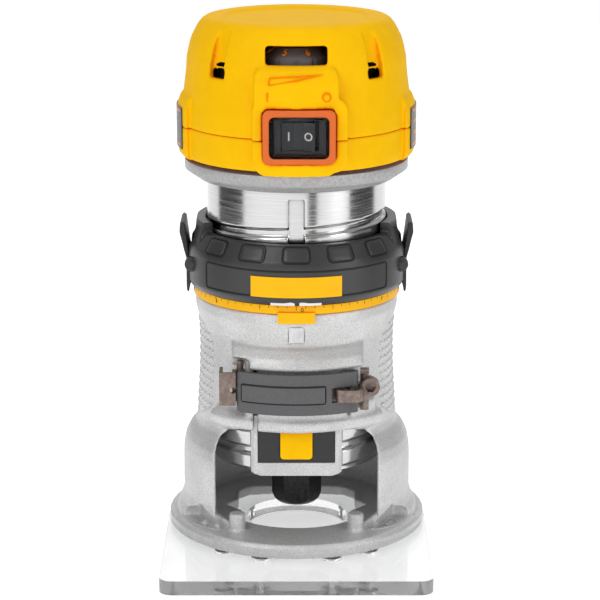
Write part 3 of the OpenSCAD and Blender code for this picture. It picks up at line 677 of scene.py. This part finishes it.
def make_scale():
    bm = bmesh.new()
    marks = 72
    for k in range(marks):
        azimuth = FRONT + 2 * math.pi * k / marks
        long_mark = k % 4 == 0
        height = 1.5 if long_mark else 0.8
        place = on_cylinder(40.0, azimuth, 101.8 - height / 2)
        stroke(bm, place, [(0, -height / 2), (0, height / 2)], 0.2, 0.05, sink=0.1)
    digit(bm, on_cylinder(40.0, FRONT + 0.055, 100.4), "0", 0.65, 0.24, 0.06)
    for k, text in enumerate("123456"):
        azimuth = FRONT + math.radians(51.4 * (k + 1) + 2.6)
        digit(bm, on_cylinder(40.0, azimuth, 100.6), text, 0.8, 0.3, 0.06)
    piece_from("scale_marks", bm, "depth_scale", "scale_plastic", "black_ink")


# ---- cap

def make_cap():
    for name in ("upper_cap", "lower_housing"):
        obj = soft_copy(name, *SOFT_PARTS[name])
        link_piece(obj, "motor", "yellow_plastic", angle=50)
        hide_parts(name)
    grommet = soft_copy("cord_grommet", *SOFT_PARTS["cord_grommet"])
    link_piece(grommet, "motor", "rubber")
    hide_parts("cord_grommet")
    # Moulded symbols on the yellow cap, coloured deep orange as painted shade along their relief.
    bm = bmesh.new()
    face = on_cylinder(46.75, FRONT, 181.2)
    stroke(bm, face, [(-10.6, -1.6), (-10.6, 1.6)], 0.6, 0.22)
    stroke(bm, face, arc(11.2, 0, 1.5, 0, 342, 18), 0.5, 0.22, closed=True)
    wedge_z = 187.0
    wedge = lambda u, v, h: polar(46.05 - 0.22 * (v + 0.4) + h, FRONT + u / 46, wedge_z + v)
    stroke(bm, wedge, [(-10, -1.5), (-10, 1.2), (0, 1.9), (10, 2.5), (0, 0.4), (-10, -1.5)], 0.3, 0.2)
    piece_from("cap_symbols", bm, "motor", "yellow_plastic", "mark_orange")
    bm = bmesh.new()
    for side in (0, math.pi):
        place = on_cylinder(45.72, side, 164.4)
        for v in (6.4, -6.4):
            stroke(bm, place, [(-13 + k * 1.3, v) for k in range(21)], 0.7, 0.06, sink=0.05)
        for v in (2.2, -2.2):
            stroke(bm, place, [(-11 + k * 1.1, v) for k in range(15)], 0.9, 0.06, sink=0.05)
    piece_from("label_rules", bm, "motor", "label_film", "orange_ink")


def make_switch():
    bm = bmesh.new()
    place = on_front(1.35, -40.5, 166.7, math.radians(-7))
    mark = lambda u, v, h: place(u, v, h + 3.6 + max(0.0, (abs(u) - 2) * 1.3 / 4))
    stroke(bm, mark, [(-3.6, -1.6), (-3.6, 1.6)], 0.5, 0.08, sink=0.1)
    stroke(bm, mark, arc(3.6, 0, 1.3, 0, 340, 16), 0.45, 0.08, sink=0.1, closed=True)
    piece_from("rocker_marks", bm, "rocker", "black_plastic", "white_ink")


def make_dial():
    finish_with(nodes["speed_dial"], "dial_plastic")
    bm = bmesh.new()
    for k, text in enumerate("123456"):
        azimuth = FRONT + math.radians(-24 + 48 * (k - 4))
        turn = Matrix.Rotation(azimuth, 3, "Z")
        centre = Vector((0, -22.6, 0))

        def place(u, v, h):
            radial, up = 10.1 - v * 0.86 + h * 0.5, 195.7 + v * 0.5 + h * 0.86
            return (centre + turn @ Vector((radial, u, 0)) + Vector((0, 0, up))) * MM

        digit(bm, place, text, 1.6, 0.62, 0.08)
    piece_from("dial_numbers", bm, "dial", "black_plastic", "orange_ink")


def make_lever():
    """Painted shade: a dark line round the raised panel of the lever."""
    bm = bmesh.new()
    panel = -math.acos(-20.5 / 46.5), -math.acos(10.7 / 46.5)
    middle = sum(panel) / 2
    place = on_cylinder(46.06, middle, 68.7)
    stroke(bm, place, box_outline(46 * abs(panel[1] - panel[0]) + 0.9, 6.9, 0.7), 0.45, 0.1, closed=True)
    piece_from("lever_panel_shade_line", bm, "lever", "lever_black", "groove_black")


make_lever()
make_can()
make_casting()
make_ring()
make_scale()
make_cap()
make_switch()
make_dial()


# ------------------------------------------------------------------ stage

def area_light(name, place, target, size, power):
    data = bpy.data.lights.new(name, "AREA")
    data.shape = "RECTANGLE"
    data.size, data.size_y = size
    data.energy = power
    obj = bpy.data.objects.new(name, data)
    obj.location = place
    obj.rotation_euler = (Vector(target) - Vector(place)).to_track_quat("-Z", "Y").to_euler()
    scene.collection.objects.link(obj)
    return obj


def make_stage():
    bpy.ops.mesh.primitive_plane_add(size=40, location=(0, 0, -0.0002))
    floor = bpy.context.object
    floor.name = "floor"
    s = Shader("floor", (0.93, 0.93, 0.93), 0.7, Emission_Color=(1, 1, 1, 1), Emission_Strength=0.52)
    s.color_from(s.greys(s.noise(3, 2), 0.92, 0.94))
    floor.data.materials.append(s.material)
    middle = (0, 0, 0.10)
    area_light("key", (-0.55, -0.75, 0.75), middle, (0.45, 0.7), 3.4)
    area_light("fill", (0.75, -0.55, 0.40), middle, (0.35, 0.8), 2.1)
    area_light("top", (0.0, 0.15, 1.0), middle, (0.7, 0.7), 1.6)
    area_light("back", (0.1, 0.9, 0.6), middle, (1.0, 0.6), 1.2)
    world = bpy.data.worlds.new("studio")
    world.use_nodes = True
    world.node_tree.nodes["Background"].inputs["Color"].default_value = (1, 1, 1, 1)
    world.node_tree.nodes["Background"].inputs["Strength"].default_value = 0.5
    scene.world = world
    # Dark flags beside the camera, which the polished can shows as grey upright bands
    flags = ("flag_left", 178, 0.42), ("flag_middle", -70, 0.09), ("flag_right", 2, 0.42)
    for name, azimuth, width in flags:
        direction = Vector((math.cos(math.radians(azimuth)), math.sin(math.radians(azimuth)), 0))
        bpy.ops.mesh.primitive_plane_add(size=1, location=direction * 0.5 + Vector((0, 0, 0.22)))
        flag = bpy.context.object
        flag.name = name
        flag.scale = (width, 0.5, 1)
        flag.rotation_euler = direction.to_track_quat("Z", "Y").to_euler()
        flag.visible_camera = False
        flag.data.materials.append(Shader("flag", (0.03, 0.03, 0.03), 0.8).material)


def make_camera():
    """135 mm lens, 14.4 degrees above level, aimed at the router's axis."""
    pitch = math.radians(14.43)
    distance = 0.8786
    aim = Vector((0.00137, 0, 0.0940))
    data = bpy.data.cameras.new("camera")
    data.lens = 135
    data.sensor_width = 36
    camera = bpy.data.objects.new("camera", data)
    camera.location = aim + distance * Vector((0, -math.cos(pitch), math.sin(pitch)))
    camera.rotation_euler = (math.pi / 2 - pitch, 0, 0)
    scene.collection.objects.link(camera)
    scene.camera = camera


make_stage()
make_camera()
scene.view_settings.view_transform = "Standard"
